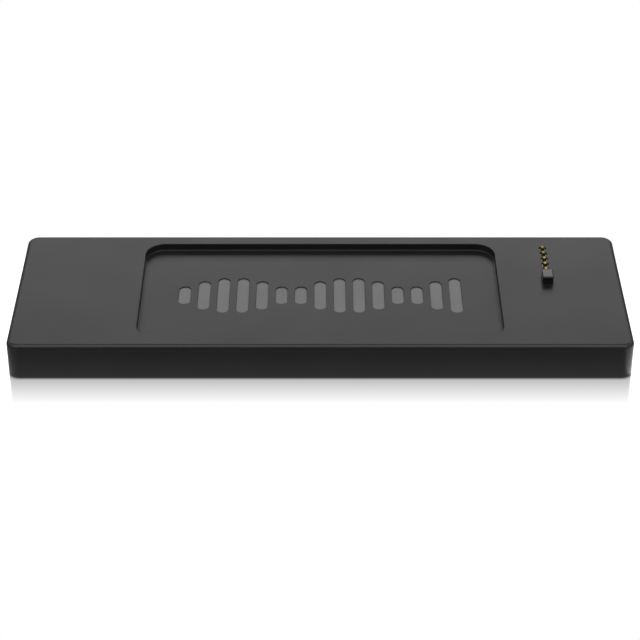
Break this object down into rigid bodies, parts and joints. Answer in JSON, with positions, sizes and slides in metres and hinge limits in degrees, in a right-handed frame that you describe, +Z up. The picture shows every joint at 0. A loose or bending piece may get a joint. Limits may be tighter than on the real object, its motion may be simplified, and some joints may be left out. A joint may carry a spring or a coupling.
{
  "type": "wireless bodypack transmitter",
  "caption": "Flat slab-shaped wireless transmitter pack with a shallow tray on top, a row of sprung contacts beside a key block, and battery, radio and input parts inside.",
  "frame": {"origin": "middle of the underside, on the surface the pack lies on", "axes": "+X along the pack towards the contacts, +Y across it to the back, +Z up out of the tray"},
  "size_m": [0.1518, 0.0508, 0.0113],
  "materials": {
    "case_plastic": "fine spark-eroded matt texture",
    "cover_plastic": "fine matt texture",
    "emblem_paint": "satin grey",
    "carrier_plastic": "satin moulded liquid-crystal polymer",
    "gold": "gold flash over nickel",
    "spring_steel": "drawn stainless wire",
    "screw_steel": "zinc nickel",
    "label_film": "silver polyester film",
    "circuit_board": "solder mask",
    "chip_epoxy": "laser-marked epoxy left blank",
    "tinned_steel": "tin plate",
    "ceramic": "fired ceramic with tinned ends",
    "ferrite": "ferrite and resin",
    "connector_plastic": "natural nylon",
    "flex_film": "polyester film with tinned tracks",
    "jack_plastic": "moulded polyester",
    "light_plastic": "clear polycarbonate",
    "led_epoxy": "clear epoxy",
    "pouch_foil": "laminated pouch foil",
    "tape_foam": "acrylic foam",
    "lead_insulation": "silicone insulation, one red and one black"
  },
  "bodies": {
    "case": {"upper_shell": "case_plastic", "lower_cover": "cover_plastic", "cover_screws": "screw_steel", "rating_label": "label_film", "emblem_bars": "emblem_paint", "contact_carrier": "carrier_plastic", "contact_barrels": "gold", "contact_spring_1": "spring_steel", "contact_spring_2": "spring_steel", "contact_spring_3": "spring_steel", "contact_spring_4": "spring_steel", "contact_spring_5": "spring_steel", "main_board": "circuit_board", "board_screws": "screw_steel", "radio_shield": "tinned_steel", "radio_chip": "chip_epoxy", "radio_crystal": "tinned_steel", "controller_chip": "chip_epoxy", "audio_codec_chip": "chip_epoxy", "charger_chip": "chip_epoxy", "power_inductor": "ferrite", "board_capacitors": "ceramic", "antenna": "tinned_steel", "link_sockets": "connector_plastic", "link_cable": "flex_film", "input_board": "circuit_board", "mic_jack": "jack_plastic", "jack_terminals": "gold", "switch_frame": "tinned_steel", "status_led": "led_epoxy", "light_pipe": "light_plastic", "battery_cell": "pouch_foil", "battery_tape": "tape_foam", "battery_tabs": "tinned_steel", "battery_protection_board": "circuit_board", "battery_leads": "lead_insulation", "battery_plug": "connector_plastic", "battery_socket": "connector_plastic"},
    "contact_1": {"contact_plunger_1": "gold"},
    "contact_2": {"contact_plunger_2": "gold"},
    "contact_3": {"contact_plunger_3": "gold"},
    "contact_4": {"contact_plunger_4": "gold"},
    "contact_5": {"contact_plunger_5": "gold"},
    "switch": {"switch_knob": "carrier_plastic"}
  },
  "joints": [
    {"name": "contact_1_press", "type": "slide", "parent": "case", "child": "contact_1", "axis": [0, 0, -1], "range_m": [0, 0.0006], "stiffness_N_per_m": 300, "springref_m": -0.001, "deforming": ["contact_spring_1"]},
    {"name": "contact_2_press", "type": "slide", "parent": "case", "child": "contact_2", "axis": [0, 0, -1], "range_m": [0, 0.0006], "stiffness_N_per_m": 300, "springref_m": -0.001, "deforming": ["contact_spring_2"]},
    {"name": "contact_3_press", "type": "slide", "parent": "case", "child": "contact_3", "axis": [0, 0, -1], "range_m": [0, 0.0006], "stiffness_N_per_m": 300, "springref_m": -0.001, "deforming": ["contact_spring_3"]},
    {"name": "contact_4_press", "type": "slide", "parent": "case", "child": "contact_4", "axis": [0, 0, -1], "range_m": [0, 0.0006], "stiffness_N_per_m": 300, "springref_m": -0.001, "deforming": ["contact_spring_4"]},
    {"name": "contact_5_press", "type": "slide", "parent": "case", "child": "contact_5", "axis": [0, 0, -1], "range_m": [0, 0.0006], "stiffness_N_per_m": 300, "springref_m": -0.001, "deforming": ["contact_spring_5"]},
    {"name": "switch_slide", "type": "slide", "parent": "case", "child": "switch", "axis": [0, 1, 0], "range_m": [0, 0.002]}
  ]
}
